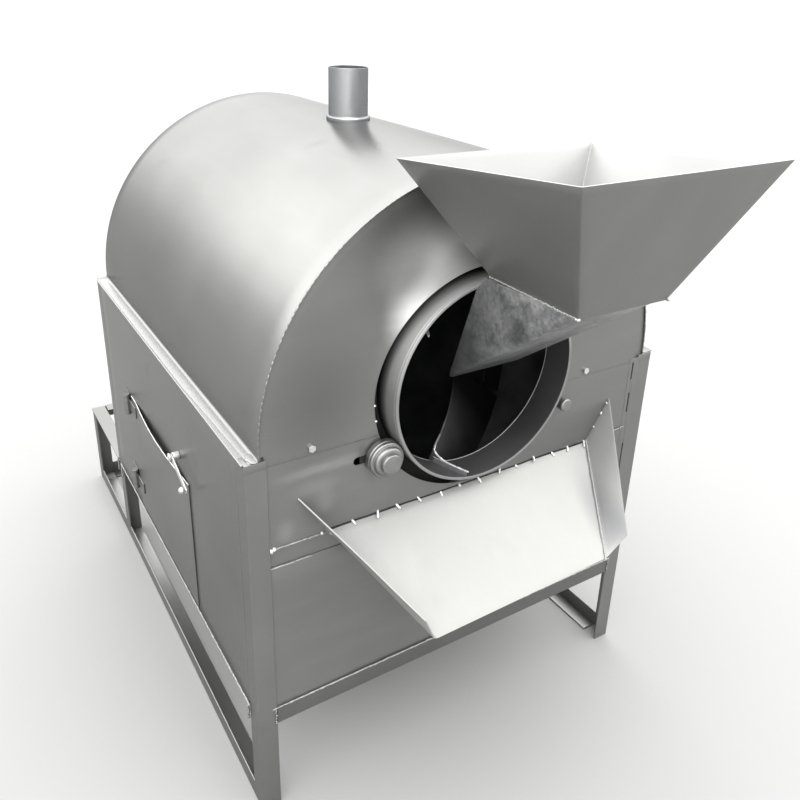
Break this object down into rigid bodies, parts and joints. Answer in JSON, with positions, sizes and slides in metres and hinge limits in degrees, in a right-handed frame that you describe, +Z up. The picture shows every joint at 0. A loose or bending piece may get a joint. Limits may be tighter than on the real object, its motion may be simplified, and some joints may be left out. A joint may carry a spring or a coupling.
{
  "type": "nut roasting machine",
  "caption": "Free-standing drum roaster for nuts: a hooded sheet-metal cabinet on an angle-iron frame, with a feed hopper, a turning drum, a discharge chute and a chain drive.",
  "frame": {"origin": "middle of the footprint's bounding box, on the floor", "axes": "+X to the right seen from the hopper end, +Y from the hopper end to the drive end, +Z up"},
  "size_m": [0.9774, 1.784, 1.3705],
  "materials": {
    "silver_sheet": "satin silver paint on sheet steel",
    "galvanised_sheet": "mottled galvanised sheet",
    "bright_sheet": "bright satin sheet",
    "frame_steel": "silver paint on angle iron",
    "drum_steel": "dark heat-blued steel",
    "turned_steel": "turned steel",
    "chain_steel": "oiled steel",
    "zinc_bolts": "zinc plated",
    "hinge_steel": "bare steel",
    "cast_housing": "grey paint on cast iron",
    "motor_paint": "grey-blue machine paint",
    "burner_iron": "black iron pipe",
    "cock_brass": "turned brass",
    "lever_paint": "yellow dipped lever"
  },
  "bodies": {
    "drum": {"drum_shell": "drum_steel", "drum_front_plate": "drum_steel", "drum_neck": "drum_steel", "drum_rear_plate": "drum_steel", "drum_shaft": "turned_steel", "discharge_scoops": "drum_steel", "mixing_flights": "drum_steel", "driven_sprocket": "turned_steel"},
    "left_roller": {"left_roller": "turned_steel"},
    "right_roller": {"right_roller": "turned_steel"},
    "drive_sprocket": {"drive_sprocket": "turned_steel"},
    "door": {"access_door": "silver_sheet", "door_hinge_straps": "hinge_steel"},
    "latch": {"door_latch": "hinge_steel"},
    "cock_lever": {"gas_cock_lever": "lever_paint"},
    "cabinet": {"corner_posts": "frame_steel", "base_side_rails": "frame_steel", "bed_side_rails": "frame_steel", "bed_end_legs": "frame_steel", "floor_rails": "frame_steel", "cross_rails": "frame_steel", "top_side_rails": "frame_steel", "front_crossbar": "frame_steel", "left_side_panel": "silver_sheet", "right_side_panel": "silver_sheet", "rear_panel": "silver_sheet", "lower_front_panel": "silver_sheet", "middle_front_panel": "silver_sheet", "hood": "silver_sheet", "front_end_plate": "silver_sheet", "rear_end_plate": "silver_sheet", "flue": "silver_sheet", "seam_straps": "frame_steel", "seam_bolts": "zinc_bolts", "left_roller_axle": "turned_steel", "right_roller_axle": "turned_steel", "roller_brackets": "frame_steel", "hopper": "silver_sheet", "feed_spout": "galvanised_sheet", "hopper_brackets": "frame_steel", "hopper_bolts": "zinc_bolts", "discharge_chute": "bright_sheet", "door_hinge_lugs": "hinge_steel", "latch_pivot": "hinge_steel", "bearing_uprights": "frame_steel", "bearing_plate": "frame_steel", "bearing_housing": "cast_housing", "bearing_bolts": "zinc_bolts", "drive_chain": "chain_steel", "drive_base": "frame_steel", "gearbox": "cast_housing", "gearbox_bolts": "zinc_bolts", "motor": "motor_paint", "motor_fan_cover": "motor_paint", "terminal_box": "motor_paint", "burner_tubes": "burner_iron", "burner_manifold": "burner_iron", "burner_supports": "frame_steel", "gas_cock": "cock_brass"}
  },
  "joints": [
    {"name": "drum_spin", "type": "hinge", "parent": "cabinet", "child": "drum", "pos_m": [0.0087, 0.663, 0.855], "axis": [0, 1, 0], "continuous": true},
    {"name": "left_roller_spin", "type": "hinge", "parent": "cabinet", "child": "left_roller", "pos_m": [-0.20508, -0.492, 0.74748], "axis": [0, 1, 0], "continuous": true},
    {"name": "right_roller_spin", "type": "hinge", "parent": "cabinet", "child": "right_roller", "pos_m": [0.22248, -0.492, 0.74748], "axis": [0, 1, 0], "continuous": true},
    {"name": "drive_sprocket_spin", "type": "hinge", "parent": "cabinet", "child": "drive_sprocket", "pos_m": [0.0087, 0.663, 0.371], "axis": [0, 1, 0], "continuous": true},
    {"name": "door_swing", "type": "hinge", "parent": "cabinet", "child": "door", "pos_m": [-0.4753, 0.303, 0.329], "axis": [0, 0, -1], "range_deg": [0, 120]},
    {"name": "latch_turn", "type": "hinge", "parent": "cabinet", "child": "latch", "pos_m": [-0.4833, -0.105, 0.618], "axis": [1, 0, 0], "range_deg": [0, 95]},
    {"name": "cock_turn", "type": "hinge", "parent": "cabinet", "child": "cock_lever", "pos_m": [-0.2913, 0.6, 0.311], "axis": [0, 0, -1], "range_deg": [0, 90]}
  ],
  "couplings": [
    {"joint": "left_roller_spin", "follows": "drum_spin", "ratio": -5.8286},
    {"joint": "right_roller_spin", "follows": "drum_spin", "ratio": -5.8286},
    {"joint": "drive_sprocket_spin", "follows": "drum_spin", "ratio": 3}
  ]
}
